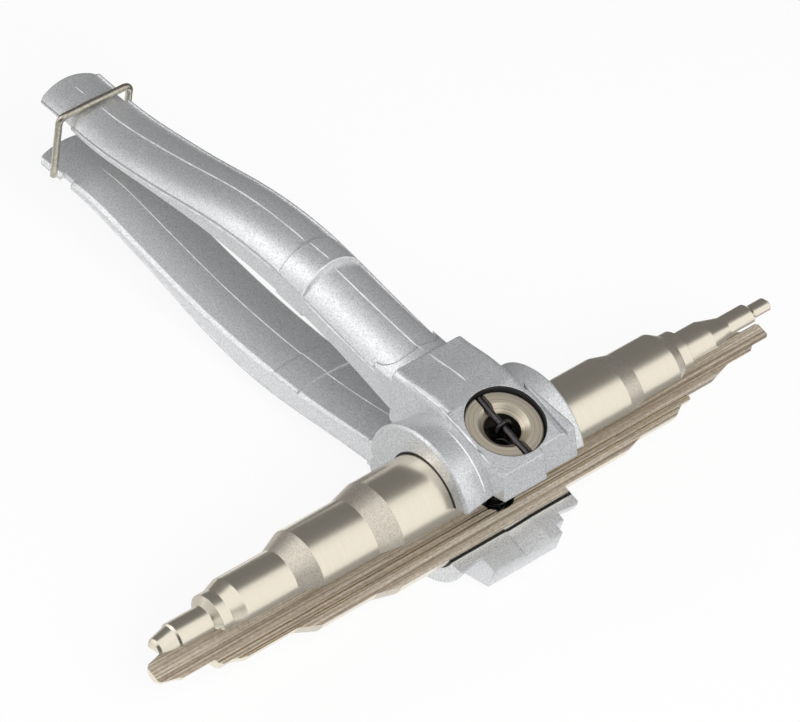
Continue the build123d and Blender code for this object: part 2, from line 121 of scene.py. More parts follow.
@dataclass(frozen=True)
class ToolPose:
    """Places the half-open design frame (mm, hinge at y = 15.2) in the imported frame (m).

    Args:
        hinge: the hinge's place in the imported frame.
        lie: turn about the hinge with which the tool lies, in radians.
    """

    hinge: Vector = field(default_factory=Vector)
    lie: float = 0.0
    hinge_y: float = 15.2
    loop_bar_y: float = 146.2
    loop_bar_z: float = 12.0
    half_opening: float = 14.27
    screw_lean: float = 28.0
    spring_hole_y: float = -2.3
    spring_hole_top: Pair = (-3.52, 6.62)

    @classmethod
    def from_joints(cls, joints: list[dict[str, Any]]) -> "ToolPose":
        """Read where the tool lies from its two hinges.

        Args:
            joints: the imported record's joints.

        Returns:
            The pose of the half-open design frame.
        """
        places = {joint["name"]: Vector(joint["pos_m"]) for joint in joints}
        hinge = places["handle_squeeze"]
        bar = places["latch_loop_swing"] - hinge
        drawn = math.atan2(cls.loop_bar_z, cls.loop_bar_y - cls.hinge_y)
        return cls(hinge=hinge, lie=math.atan2(bar.z, bar.y) - drawn)

    def turned(self, direction: Vector) -> Vector:
        """Direction of the half-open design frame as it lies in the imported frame."""
        return Matrix.Rotation(self.lie, 3, "X") @ direction

    def half_open(self, x: float, y: float, z: float) -> Vector:
        """Packed place of a design point given in millimetres."""
        return self.hinge + self.turned(Vector((x, y - self.hinge_y, z))) * MM

    def closed(self, side: Side, x: float, y: float, z: float) -> Vector:
        """Packed place of a point given in one jaw's closed frame.

        Args:
            side: the jaw that the point moves with.
            x: place along the mandrel, in millimetres.
            y: place behind the mandrel's axis.
            z: height above the split plane, away from it for either jaw.

        Returns:
            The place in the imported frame, in metres.
        """
        turn = math.radians(self.half_opening)
        reach = y - self.hinge_y
        open_y = self.hinge_y + reach * math.cos(turn) + z * math.sin(turn)
        open_z = -reach * math.sin(turn) + z * math.cos(turn)
        return self.half_open(x, open_y, open_z * side.value)

    def centre(self, side: Side) -> Vector:
        """Where the jaw's screw axis meets the mandrel's axis."""
        return self.closed(side, 0.0, 0.0, 0.0)

    def split_normal(self, side: Side) -> Vector:
        """Direction that the jaw's split face looks in."""
        return (self.closed(side, 0.0, 0.0, -1.0) - self.centre(side)).normalized()

    def screw_axis(self, side: Side) -> Vector:
        """Outward direction of the jaw's clamp screw."""
        lean = math.radians(self.screw_lean)
        return (self.closed(side, 0.0, -math.sin(lean), math.cos(lean)) - self.centre(side)).normalized()

    def spring_hole(self, side: Side) -> tuple[Vector, Vector]:
        """Foot and direction of the spring's hole through one mandrel half."""
        foot = self.closed(side, 0.0, self.spring_hole_y, 0.0)
        return foot, (self.closed(side, 0.0, *self.spring_hole_top) - foot).normalized()


class Graph:
    """Builder for one tree of shader nodes."""

    def __init__(self, tree: bpy.types.ShaderNodeTree) -> None:
        """Start from an empty tree.

        Args:
            tree: the tree, which is cleared.
        """
        self.tree = tree
        self.tree.nodes.clear()

    def node(self, kind: str, **settings: Any) -> bpy.types.ShaderNode:
        """Add a node and set its properties.

        Args:
            kind: Blender's name for the kind of node.
            settings: the node's properties by name.

        Returns:
            The node.
        """
        made = self.tree.nodes.new(kind)
        for key, value in settings.items():
            setattr(made, key, value)
        return made

    def join(self, source: Socket, target: Socket) -> None:
        """Link two sockets."""
        self.tree.links.new(source, target)

    def feed(self, target: Socket, value: Socket | Colour | float) -> None:
        """Link a socket to another one, or set it to a number or a colour.

        Args:
            target: the socket that takes the value.
            value: what it takes.
        """
        if isinstance(value, bpy.types.NodeSocket):
            self.join(value, target)
        elif isinstance(value, tuple):
            target.default_value = (*value, 1.0)
        else:
            target.default_value = value

    def maths(self, operation: str, *terms: Socket | float) -> Socket:
        """Add a math node.

        Args:
            operation: Blender's name for the operation.
            terms: up to three values.

        Returns:
            The result.
        """
        made = self.node("ShaderNodeMath", operation=operation)
        for socket, value in zip(made.inputs, terms):
            self.feed(socket, value)
        return made.outputs[0]

    def mix_shaders(self, share: Socket, first: Socket, second: Socket) -> Socket:
        """Mix two shaders.

        Args:
            share: share of the second shader.
            first: the first shader.
            second: the second shader.

        Returns:
            The mixed shader.
        """
        made = self.node("ShaderNodeMixShader")
        for socket, source in zip(made.inputs, (share, first, second)):
            self.join(source, socket)
        return made.outputs[0]

    def white_share(self) -> Socket:
        """One for the rays that see the plain background, directly or in metal and glass."""
        rays = self.node("ShaderNodeLightPath").outputs
        seen = self.maths("MAXIMUM", rays["Is Camera Ray"], rays["Is Transmission Ray"])
        return self.maths("MAXIMUM", seen, rays["Is Glossy Ray"])


@dataclass(frozen=True)
class Relief:
    """How a finish breaks up the light.

    Args:
        depth: depth of a full bump, in millimetres.
        share: share of the bump used.
        rounding: radius that sharp edges seem to have, in millimetres.
    """

    depth: float
    share: float
    rounding: float


class Finish(Graph):
    """Node builder shared by all finishes."""

    def __init__(self, name: str) -> None:
        """Start a material with a plain shader.

        Args:
            name: the material's name.
        """
        self.material = bpy.data.materials.new(name)
        self.material.use_nodes = True
        super().__init__(self.material.node_tree)
        self.output = self.node("ShaderNodeOutputMaterial")
        self.shader = self.node("ShaderNodeBsdfPrincipled")
        self.join(self.shader.outputs[0], self.output.inputs["Surface"])
        self.place = self.node("ShaderNodeTexCoord").outputs["Object"]
        self.facing = self.node("ShaderNodeTexCoord").outputs["Normal"]

    def dot(self, vector: Socket, direction: Vector) -> Socket:
        """Component of a vector along a fixed direction.

        Args:
            vector: the vector.
            direction: the fixed direction.

        Returns:
            The component.
        """
        made = self.node("ShaderNodeVectorMath", operation="DOT_PRODUCT")
        self.join(vector, made.inputs[0])
        made.inputs[1].default_value = direction
        return made.outputs["Value"]

    def noise(self, per_mm: Point | float, detail: float = 3.0, rough: float = 0.55) -> Socket:
        """Noise over the object's own place.

        Args:
            per_mm: cells per millimetre, on each axis or on all.
            detail: number of finer layers.
            rough: weight of the finer layers.

        Returns:
            The noise, from 0 to 1.
        """
        scale = (per_mm,) * 3 if isinstance(per_mm, float) else per_mm
        stretched = self.node("ShaderNodeMapping")
        stretched.inputs["Scale"].default_value = tuple(axis / MM for axis in scale)
        self.join(self.place, stretched.inputs["Vector"])
        made = self.node("ShaderNodeTexNoise")
        made.inputs["Scale"].default_value = 1.0
        made.inputs["Detail"].default_value = detail
        made.inputs["Roughness"].default_value = rough
        self.join(stretched.outputs[0], made.inputs["Vector"])
        return made.outputs["Fac"]

    def rings(self, distance: Socket, per_mm: float, detail: float = 3.0) -> Socket:
        """Noise that changes only with one distance, as fine turning rings do.

        Args:
            distance: the distance, in millimetres.
            per_mm: cells per millimetre.
            detail: number of finer layers.

        Returns:
            The noise, from 0 to 1.
        """
        made = self.node("ShaderNodeTexNoise", noise_dimensions="1D")
        made.inputs["Scale"].default_value = per_mm
        made.inputs["Detail"].default_value = detail
        self.join(distance, made.inputs["W"])
        return made.outputs["Fac"]

    def from_axis(self, centre: Vector, axis: Vector) -> Socket:
        """Distance from an axis.

        Args:
            centre: a point on the axis.
            axis: its direction.

        Returns:
            The distance, in millimetres.
        """
        away = self.node("ShaderNodeVectorMath", operation="SUBTRACT")
        self.join(self.place, away.inputs[0])
        away.inputs[1].default_value = centre
        across = self.node("ShaderNodeVectorMath", operation="CROSS_PRODUCT")
        self.join(away.outputs[0], across.inputs[0])
        across.inputs[1].default_value = axis / MM
        length = self.node("ShaderNodeVectorMath", operation="LENGTH")
        self.join(across.outputs[0], length.inputs[0])
        return length.outputs["Value"]

    def along_axis(self, centre: Vector, axis: Vector) -> Socket:
        """Distance along an axis.

        Args:
            centre: the point of the axis from which the distance counts.
            axis: its direction.

        Returns:
            The distance, in millimetres.
        """
        return self.maths("SUBTRACT", self.dot(self.place, axis / MM), centre.dot(axis) / MM)

    def ramp(self, value: Socket, stops: tuple[float, ...], shades: tuple[Colour | float, ...]) -> Socket:
        """Colour ramp.

        Args:
            value: what the ramp is read at.
            stops: values at which the ramp has its shades.
            shades: a colour or a grey for each stop.

        Returns:
            The shade.
        """
        made = self.node("ShaderNodeValToRGB")
        elements = made.color_ramp.elements
        while len(elements) < len(stops):
            elements.new(0.5)
        for element, stop, shade in zip(elements, stops, shades):
            element.position = stop
            element.color = (*shade, 1.0) if isinstance(shade, tuple) else (shade, shade, shade, 1.0)
        self.join(value, made.inputs["Fac"])
        return made.outputs["Color"]

    def mix(
        self, share: Socket | float, first: Socket | Colour, second: Socket | Colour, mode: str = "MIX"
    ) -> Socket:
        """Mix two colours, through those sockets of Blender's mix node that hold colours.

        Args:
            share: share of the second colour.
            first: the first colour.
            second: the second colour.
            mode: Blender's name for the way of mixing.

        Returns:
            The mixed colour.
        """
        made = self.node("ShaderNodeMix", data_type="RGBA", blend_type=mode)
        for number, value in zip(MIX_INPUTS, (share, first, second)):
            self.feed(made.inputs[number], value)
        return made.outputs[MIX_RESULT]

    def paint(self, colour: Socket | Colour, metal: Socket | float, roughness: Socket | float) -> None:
        """Set the shader's colour, metal share and roughness.

        Args:
            colour: the base colour.
            metal: 1 for metal, less for paint.
            roughness: 0 for a mirror, 1 for a dull surface.
        """
        self.feed(self.shader.inputs["Base Color"], colour)
        self.feed(self.shader.inputs["Metallic"], metal)
        self.feed(self.shader.inputs["Roughness"], roughness)

    def bump(self, height: Socket, relief: Relief) -> None:
        """Bump the surface, with its sharp edges softened.

        Args:
            height: value from 0 to 1.
            relief: depth and share of the bump, and the softness of the edges.
        """
        soft = self.node("ShaderNodeBevel", samples=EDGE_SAMPLES)
        soft.inputs["Radius"].default_value = relief.rounding * MM
        made = self.node("ShaderNodeBump")
        made.inputs["Strength"].default_value = relief.share
        made.inputs["Distance"].default_value = relief.depth * MM
        self.join(height, made.inputs["Height"])
        self.join(soft.outputs[0], made.inputs["Normal"])
        self.join(made.outputs["Normal"], self.shader.inputs["Normal"])


@dataclass(frozen=True)
class SilverCasting:
    """Blasted die casting under fine silver paint, with a metallic sparkle; the wall of the screw's
    counterbore is painted near-black as painted shade.

    Lengths are in millimetres, patterns in cells per millimetre. The dark ring round the mandrel is painted
    shade for the gap between it and the collar.
    """

    light: Colour = (0.95, 0.96, 0.97)
    middle: Colour = (0.75, 0.76, 0.77)
    dark: Colour = (0.5, 0.51, 0.52)
    tone_stops: tuple[float, float, float] = (0.32, 0.5, 0.66)
    metal: float = 0.7
    grain: float = 2.8
    grain_rough: float = 0.7
    cloud: float = 0.05
    cloud_share: float = 0.3
    sparkle: float = 1.9
    sparkle_stops: Pair = (0.35, 0.7)
    roughness: Pair = (0.3, 0.52)
    relief: Relief = Relief(depth=0.06, share=0.7, rounding=0.5)
    mandrel_gap: float = 11.5
    # Painted shade: near-black for the counterbore wall and for the ring round the mandrel, which are dark
    # only from shade.
    painted_shade: Colour = (0.05, 0.05, 0.055)
    pocket_radius: float = 9.57
    pocket_start: float = 10.0

    def make(self, pose: ToolPose, side: Side) -> bpy.types.Material:
        """Build the material for one casting.

        Args:
            pose: where the tool lies.
            side: which casting.

        Returns:
            The material.
        """
        look = Finish(f"silver_casting_{side.body}")
        grain = look.noise(self.grain, rough=self.grain_rough)
        cloud = look.noise(self.cloud, detail=2.0)
        shade = look.ramp(grain, self.tone_stops, (self.dark, self.middle, self.light))
        shade = look.mix(look.maths("MULTIPLY", cloud, self.cloud_share), shade, self.middle)
        rough = look.ramp(look.noise(self.sparkle), self.sparkle_stops, self.roughness)
        look.paint(look.mix(self.shaded(look, pose, side), shade, self.painted_shade), self.metal, rough)
        look.bump(grain, self.relief)
        return look.material

    def shaded(self, look: Finish, pose: ToolPose, side: Side) -> Socket:
        """Mask of the painted shade on the screw's counterbore wall and in the gap round the mandrel.

        Args:
            look: the finish that it is built in.
            pose: where the tool lies.
            side: which casting.

        Returns:
            One where the casting gets painted shade.
        """
        centre, axis = pose.centre(side), pose.screw_axis(side)
        within = look.maths("LESS_THAN", look.from_axis(centre, axis), self.pocket_radius)
        outside = look.maths("GREATER_THAN", look.along_axis(centre, axis), self.pocket_start)
        # Painted shade: a dark ring where the mandrel enters the collar.
        gap_painted_shade = look.maths("LESS_THAN", look.from_axis(centre, MANDREL_AXIS), self.mandrel_gap)
        return look.maths("MAXIMUM", look.maths("MULTIPLY", within, outside), gap_painted_shade)


@dataclass(frozen=True)
class SatinNickel:
    """Turned, satin nickel-plated steel with speckled cones and a brushed split face; the inside of the
    spring hole is painted near-black as painted shade.

    Lengths are in millimetres, patterns in cells per millimetre. Each cone has its two ends along the
    mandrel, and split_edge has the cosines between which a face turns into the split face.
    """

    light: Colour = (0.87, 0.8, 0.67)
    dark: Colour = (0.76, 0.68, 0.55)
    turning: Point = (5.0, 0.2, 0.2)
    turning_stops: Pair = (0.3, 0.7)
    turning_height: Pair = (0.4, 0.6)
    fine: float = 2.6
    fine_rough: float = 0.7
    fine_share: float = 0.5
    step_roughness: float = 0.24
    cones: tuple[Pair, ...] = ((-61.6, -56.1), (-40.6, -34.5), (35.2, 40.1), (51.5, 54.8))
    cone_light: Colour = (0.84, 0.78, 0.67)
    cone_dark: Colour = (0.64, 0.58, 0.5)
    cone_stops: Pair = (0.38, 0.62)
    cone_height: Pair = (0.38, 0.62)
    cone_roughness: float = 0.42
    split_light: Colour = (0.88, 0.81, 0.69)
    split_middle: Colour = (0.58, 0.49, 0.385)
    split_dark: Colour = (0.34, 0.275, 0.205)
    split_edge: Pair = (0.9, 0.97)
    streak: Point = (0.012, 1.8, 1.8)
    streak_rough: float = 0.6
    streak_stops: tuple[float, float, float] = (0.34, 0.5, 0.68)
    speck: Point = (0.9, 2.4, 2.4)
    speck_rough: float = 0.8
    speck_stops: Pair = (0.36, 0.64)
    speck_tones: Pair = (0.62, 1.0)
    split_metal: float = 0.35
    split_roughness: float = 0.4
    # Painted shade: near-black inside the spring hole, which is dark only from shade.
    hole: Colour = (0.03, 0.028, 0.025)
    hole_radius: float = 4.75
    relief: Relief = Relief(depth=0.03, share=0.5, rounding=0.15)

    def on_cones(self, look: Finish, pose: ToolPose) -> Socket:
        """Mask of the mandrel's matt cones.

        Args:
            look: the finish that it is built in.
            pose: where the tool lies.

        Returns:
            One on the cones.
        """
        along = look.along_axis(pose.hinge, MANDREL_AXIS)
        mask: Socket | float = 0.0
        for start, end in self.cones:
            here = look.maths("COMPARE", along, (start + end) / 2, abs(end - start) / 2)
            mask = look.maths("ADD", mask, here)
        return mask

    def skin(self, look: Finish, turning: Socket, fine: Socket, cone: Socket) -> Socket:
        """Colour of the steps and cones.

        Args:
            look: the finish that it is built in.
            turning: the turning marks.
            fine: the fine grain.
            cone: one on the cones.

        Returns:
            The colour.
        """
        steps = look.ramp(turning, self.turning_stops, (self.dark, self.light))
        steps = look.mix(look.maths("MULTIPLY", fine, self.fine_share), self.light, steps)
        return look.mix(cone, steps, look.ramp(fine, self.cone_stops, (self.cone_dark, self.cone_light)))

    def split_face(self, look: Finish) -> Socket:
        """Colour of the sawn split face, streaked along the mandrel.

        Args:
            look: the finish that it is built in.

        Returns:
            The colour.
        """
        streak = look.noise(self.streak, rough=self.streak_rough)
        face = look.ramp(streak, self.streak_stops, (self.split_dark, self.split_middle, self.split_light))
        speck = look.noise(self.speck, detail=4.0, rough=self.speck_rough)
        return look.mix(1.0, face, look.ramp(speck, self.speck_stops, self.speck_tones), "MULTIPLY")

    def make(self, pose: ToolPose, side: Side) -> bpy.types.Material:
        """Build the material for one mandrel half.

        Args:
            pose: where the tool lies.
            side: which half.

        Returns:
            The material.
        """
        look = Finish(f"satin_nickel_{side.body}")
        turning = look.noise(self.turning, detail=2.0)
        fine = look.noise(self.fine, detail=4.0, rough=self.fine_rough)
        cone = self.on_cones(look, pose)
        split = look.ramp(look.dot(look.facing, pose.split_normal(side)), self.split_edge, (0.0, 1.0))
        # Painted shade: mask of the inside of the spring hole.
        hole_painted_shade_mask = look.maths("LESS_THAN", look.from_axis(*pose.spring_hole(side)), self.hole_radius)
        colour = look.mix(split, self.skin(look, turning, fine, cone), self.split_face(look))
        paint_share = look.maths("MULTIPLY", split, 1.0 - self.split_metal)
        turned_rough = look.ramp(cone, (0.0, 1.0), (self.step_roughness, self.cone_roughness))
        look.paint(
            look.mix(hole_painted_shade_mask, colour, self.hole),
            look.maths("SUBTRACT", 1.0, paint_share),
            look.mix(split, turned_rough, (self.split_roughness,) * 3),
        )
        height = look.mix(split, look.ramp(turning, (0.0, 1.0), self.turning_height), fine)
        look.bump(look.mix(cone, height, look.ramp(fine, (0.0, 1.0), self.cone_height)), self.relief)
        return look.material


@dataclass(frozen=True)
class TurnedScrew:
    """Faced steel with concentric turning rings; its central hole is painted near-black as painted shade.

    Lengths are in millimetres, patterns in cells per millimetre.
    """

    light: Colour = (0.78, 0.71, 0.58)
    dark: Colour = (0.53, 0.46, 0.36)
    metal: float = 0.8
    ring: float = 3.2
    ring_stops: Pair = (0.36, 0.6)
    fine: float = 2.0
    fine_share: float = 0.4
    gloss_stops: Pair = (0.3, 0.7)
    roughness: Pair = (0.34, 0.46)
    # Painted shade: near-black inside the screw's central hole, which is dark only from shade.
    bore_painted_shade: Colour = (0.05, 0.045, 0.04)
    bore_radius: float = 4.36
    relief: Relief = Relief(depth=0.012, share=0.6, rounding=0.2)

    def make(self, pose: ToolPose, side: Side) -> bpy.types.Material:
        """Build the material for one clamp screw.

        Args:
            pose: where the tool lies.
            side: which screw.

        Returns:
            The material.
        """
        look = Finish(f"turned_screw_{side.body}")
        distance = look.from_axis(pose.centre(side), pose.screw_axis(side))
        ring = look.rings(distance, self.ring)
        shade = look.ramp(ring, self.ring_stops, (self.dark, self.light))
        fine = look.maths("MULTIPLY", look.noise(self.fine, detail=4.0), self.fine_share)
        shade = look.mix(fine, shade, self.dark)
        # Painted shade: mask of the inside of the screw's central hole.
        bore_shade_mask = look.maths("LESS_THAN", distance, self.bore_radius)
        rough = look.ramp(ring, self.gloss_stops, self.roughness)
        look.paint(look.mix(bore_shade_mask, shade, self.bore_painted_shade), self.metal, rough)
        look.bump(ring, self.relief)
        return look.material


@dataclass(frozen=True)
class PlainMetal:
    """One-tone worn metal with fine scratches.

    Args:
        name: the material's name.
        light: colour of the rubbed places.
        dark: colour between them.
    """

    name: str
    light: Colour
    dark: Colour
    roughness: float = 0.35
    metal: float = 1.0
    grain: float = 1.4
    tone_stops: Pair = (0.35, 0.65)
    relief: Relief = Relief(depth=0.02, share=0.4, rounding=0.1)

    def make(self) -> bpy.types.Material:
        """Build the material.

        Returns:
            The material.
        """
        look = Finish(self.name)
        grain = look.noise(self.grain, detail=4.0)
        look.paint(look.ramp(grain, self.tone_stops, (self.dark, self.light)), self.metal, self.roughness)
        look.bump(grain, self.relief)
        return look.material


# Raised seams and lips: their relief is real, their brighter, less metallic silver is painted highlight along
# them.
SEAM_SILVER_HIGHLIGHT = PlainMetal("seam_silver_highlight", (0.92, 0.92, 0.93), (0.66, 0.67, 0.68), 0.5, metal=0.2, grain=0.5)
BLACKENED = PlainMetal("blackened_steel", (0.13, 0.12, 0.13), (0.07, 0.065, 0.07), 0.3)
SPRING_STEEL = PlainMetal("spring_steel", (0.1, 0.1, 0.1), (0.04, 0.04, 0.04), 0.3)
GROUND_STEEL = PlainMetal("ground_steel", (0.7, 0.7, 0.7), (0.5, 0.5, 0.5), 0.25)
WIRE_STEEL = PlainMetal("wire_steel", (0.6, 0.57, 0.49), (0.42, 0.39, 0.32), 0.24)


def wear(node: bpy.types.Object, material: bpy.types.Material) -> None:
    """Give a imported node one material."""
    node.data.materials.clear()
    node.data.materials.append(material)


def add_mesh(name: str, corners: list[Vector | Point], faces: list[tuple[int, ...]]) -> bpy.types.Object:
    """Put a new mesh in the scene.

    Args:
        name: the object's name.
        corners: its corners, in metres.
        faces: its faces, as corner numbers.

    Returns:
        The mesh object.
    """
    mesh = bpy.data.meshes.new(name)
    mesh.from_pydata(corners, [], faces)
    mesh.validate()
    made = bpy.data.objects.new(name, mesh)
    bpy.context.scene.collection.objects.link(made)
    return made


@dataclass
class Casting:
    """One silver casting: jaw housing, hinge barrels and handle, with its raised seams and lips.

    Its sizes are in millimetres.

    Args:
        side: upper or lower casting.
        pose: where the tool lies.
        node: the casting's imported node.
    """

    side: Side
    pose: ToolPose
    node: bpy.types.Object
    search_from: float = 60.0
    seam_width: float = 0.5
    seam_height: float = 0.18
    seam_step: float = 1.5
    seam_profile: tuple[Pair, ...] = ((-0.5, -0.3), (-0.28, 0.7), (0.0, 1.0), (0.28, 0.7), (0.5, -0.3))
    tip_share: float = 0.25
    taper_points: float = 2.0
    fewest_points: int = 3
    outer_seams: tuple[Pair, ...] = ((149.6, 154.0), (66.6, 143.6), (57.9, 65.4), (24.6, 56.6), (9.8, 22.8))
    inner_seam: Pair = (34.0, 143.0)
    edge_share: float = 1.6
    edge_reach: float = 20.0
    block_left: float = -10.6
    block_edge: tuple[Pair, ...] = (
        (-15.2, 9.9),
        (-12.0, 11.6),
        (-8.0, 13.8),
        (-4.0, 15.9),
        (0.0, 18.0),
        (2.5, 18.7),
        (5.5, 19.6),
        (8.5, 20.2),
        (12.0, 20.8),
        (15.0, 21.0),
    )
    collar_centre: float = 2.2
    collar_line: float = -12.6
    collar_arc: Pair = (14.0, 74.0)
    collar_steps: int = 16
    ring_front: float = 57.4
    ring_centre: float = 15.0
    ring_reach: float = 78.0
    ring_steps: int = 18
    foot_runs: tuple[Pair, ...] = ((28.5, 56.4), (66.8, 142.6))
    foot_step: float = 3.0
    foot_drop: float = 0.55
    dome_foot: tuple[Pair, ...] = (
        (24.0, 14.2),
        (32.0, 14.9),
        (45.0, 16.3),
        (57.0, 18.0),
        (70.0, 19.3),
        (82.0, 19.0),
        (95.0, 17.2),
        (110.0, 14.0),
        (124.0, 11.6),
        (132.0, 10.5),
        (149.0, 9.9),
    )
    surface: BVHTree = field(init=False)

    def __post_init__(self) -> None:
        """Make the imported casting's faces ready for the search."""
        corners = [vertex.co.copy() for vertex in self.node.data.vertices]
        faces = [tuple(face.vertices) for face in self.node.data.polygons]
        self.surface = BVHTree.FromPolygons(corners, faces)

    def land(self, shots: Iterable[Shot]) -> SurfacePath:
        """Find where straight shots first meet the casting.

        Args:
            shots: the start of each shot and a place that it heads for.

        Returns:
            The surface points that were met, with their normals.
        """
        found = []
        for start, ahead in shots:
            place, normal, _, _ = self.surface.ray_cast(start, (ahead - start).normalized())
            if place is not None:
                found.append((place, normal))
        return found

    def seam_path(self, start: float, end: float, outer: bool) -> SurfacePath:
        """Parting seam along the handle.

        Args:
            start: first place along the handle.
            end: last place.
            outer: True for the crest, False for the face between the handles.

        Returns:
            Surface points with their normals.
        """
        level, towards = (self.search_from, -1.0) if outer else (0.0, 1.0)
        first, then = level * self.side.value, (level + towards) * self.side.value
        places = spaced(start, end, round((end - start) / self.seam_step))
        return self.land(
            (self.pose.half_open(0.0, y, first), self.pose.half_open(0.0, y, then)) for y in places
        )

    def edge_path(self) -> SurfacePath:
        """Flash line along the block's rounded left edge, from its front corner back to the handle.

        Returns:
            Surface points with their normals.
        """
        shots = []
        for y, z in self.block_edge:
            start = self.pose.closed(self.side, self.block_left - self.edge_reach, y, z + self.edge_reach)
            shots.append((start, self.pose.closed(self.side, self.block_left, y, z)))
        return self.land(shots)

    def collar_path(self) -> SurfacePath:
        """Parting line round the front of the collar, close beside the block.

        Returns:
            Surface points with their normals.
        """
        shots = []
        middle = self.pose.closed(self.side, self.collar_line, self.collar_centre, 0.0)
        for degrees in spaced(*self.collar_arc, self.collar_steps):
            turn = math.radians(degrees)
            y = self.collar_centre - math.cos(turn) * self.search_from
            z = math.sin(turn) * self.search_from
            shots.append((self.pose.closed(self.side, self.collar_line, y, z), middle))
        return self.land(shots)

    def ring_path(self) -> SurfacePath:
        """Rounded lip across the handle along the front edge of its raised ring.

        Returns:
            Surface points with their normals.
        """
        shots = []
        middle = self.pose.half_open(0.0, self.ring_front, self.ring_centre * self.side.value)
        for degrees in spaced(-self.ring_reach, self.ring_reach, self.ring_steps):
            turn = math.radians(degrees)
            x = math.sin(turn) * self.search_from
            z = (self.ring_centre + math.cos(turn) * self.search_from) * self.side.value
            shots.append((self.pose.half_open(x, self.ring_front, z), middle))
        return self.land(shots)

    def foot_height(self, y: float) -> float:
        """Height of the dome's foot.

        Args:
            y: place along the handle.

        Returns:
            The height above the mandrel's axis.
        """
        for (start, low), (end, high) in zip(self.dome_foot, self.dome_foot[1:]):
            if y <= end:
                return low + (high - low) * (y - start) / (end - start)
        return self.dome_foot[-1][1]

    def foot_path(self, start: float, end: float, hand: int) -> SurfacePath:
        """Raised lip below the groove along the dome's foot; its brightness is painted highlight from the
        seams' silver.

        Args:
            start: first place along the handle.
            end: last place.
            hand: -1 for the left flank, 1 for the right.

        Returns:
            Surface points with their normals.
        """
        shots = []
        for y in spaced(start, end, round((end - start) / self.foot_step)):
            z = (self.foot_height(y) - self.foot_drop) * self.side.value
            shots.append((self.pose.half_open(hand * self.search_from, y, z), self.pose.half_open(0.0, y, z)))
        return self.land(shots)

    def ridge(self, name: str, path: SurfacePath, levels: Pair, share: float) -> bpy.types.Object:
        """Low rounded ridge along a surface path, tapering out at both ends.

        Args:
            name: the object's name.
            path: surface points with normals.
            levels: lowest and highest level that the solids reach, in metres.
            share: its size against a parting seam's.

        Returns:
            The ridge as a mesh object.
        """
        corners, faces = [], []
        last, width = len(path) - 1, len(self.seam_profile)
        for index, (place, normal) in enumerate(path):
            ahead = path[min(index + 1, last)][0] - path[max(index - 1, 0)][0]
            across = normal.cross(ahead).normalized()
            taper = share * min(1.0, self.tip_share + min(index, last - index) / self.taper_points)
            for wide, high in self.seam_profile:
                offset = across * wide * self.seam_width * taper
                lift = normal * high * self.seam_height * taper
                corner = place + (offset + lift) * MM
                corner.z = min(max(corner.z, levels[0]), levels[1])
                corners.append(corner)
        for row in range(last):
            for column in range(width):
                first = row * width + column
                after = row * width + (column + 1) % width
                faces.append((first, after, after + width, first + width))
        faces.append(tuple(range(width)))
        faces.append(tuple(reversed(range(last * width, (last + 1) * width))))
        made = add_mesh(name, corners, faces)
        for face in made.data.polygons:
            face.use_smooth = True
        return made

    def dress(self, metal: bpy.types.Material, ridge_highlight_metal: bpy.types.Material, levels: Pair) -> None:
        """Add the seams, the lips and the finish.

        Args:
            metal: the casting's material.
            ridge_highlight_metal: the brighter, less metallic silver of the raised seams, which paints the
                highlight they catch.
            levels: lowest and highest level that the solids reach, in metres.
        """
        wear(self.node, metal)
        paths = [(self.seam_path(*run, True), 1.0) for run in self.outer_seams]
        paths.append((self.seam_path(*self.inner_seam, False), 1.0))
        paths.append((self.edge_path(), self.edge_share))
        paths.append((self.collar_path(), 1.0))
        paths.append((self.ring_path(), 1.0))
        paths += [(self.foot_path(*run, hand), 1.0) for run in self.foot_runs for hand in (-1, 1)]
        for index, (path, share) in enumerate(paths):
            if len(path) < self.fewest_points:
                LOG.warning("seam %d of the %s casting found no surface", index, self.side.body)
                continue
            seam = self.ridge(f"{self.side.body}_seam_{index}", path, levels, share)
            seam.data.materials.append(ridge_highlight_metal)
            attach(seam, self.side.body)
        LOG.info("%s casting dressed", self.side.body)


@dataclass(frozen=True)
class ReturnSpring:
    """Return spring: a copy of the imported tension spring, in spring steel.

    Its sizes are in millimetres, in the half-open design frame.
    """

    coil_y: float = -2.73
    coil_half: float = 12.8

    def build(self, pose: ToolPose, node: bpy.types.Object) -> bpy.types.Object:
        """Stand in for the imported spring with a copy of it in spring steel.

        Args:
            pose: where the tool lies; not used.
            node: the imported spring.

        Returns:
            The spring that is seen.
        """
        made = bpy.data.objects.new("bending_spring", node.data.copy())
        bpy.context.scene.collection.objects.link(made)
        wear(made, SPRING_STEEL.make())
        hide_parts("return_spring")
        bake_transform(made)
        return made


@dataclass(frozen=True)
class Card:
    """Grey card that only metal mirrors: a sheet just above the floor, and a wall on its last two corners.

    Args:
        name: the card's name.
        grey: its brightness.
        sheet: the sheet's corners in plan, in metres.
        wall: the wall's two top corners in plan, or nothing.
        height: how high the wall reaches.
    """

    name: str
    grey: float
    sheet: tuple[Pair, ...]
    wall: tuple[Pair, ...] = ()
    height: float = 0.0
    lift: float = 0.001

    def build(self) -> None:
        """Put the card up."""
        corners = [(*corner, self.lift) for corner in self.sheet]
        corners += [(*corner, self.height) for corner in self.wall]
        count = len(self.sheet)
        faces = [tuple(range(count))]
        if self.wall:
            faces.append((count - 1, count - 2, count, count + 1))
        made = add_mesh(self.name, corners, faces)
        made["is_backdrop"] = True
        look = Finish(self.name)
        glow = look.node("ShaderNodeEmission")
        glow.inputs["Strength"].default_value = self.grey
        look.join(glow.outputs[0], look.output.inputs["Surface"])
        made.data.materials.append(look.material)
        made.visible_camera = False
        made.visible_diffuse = False
        made.visible_shadow = False


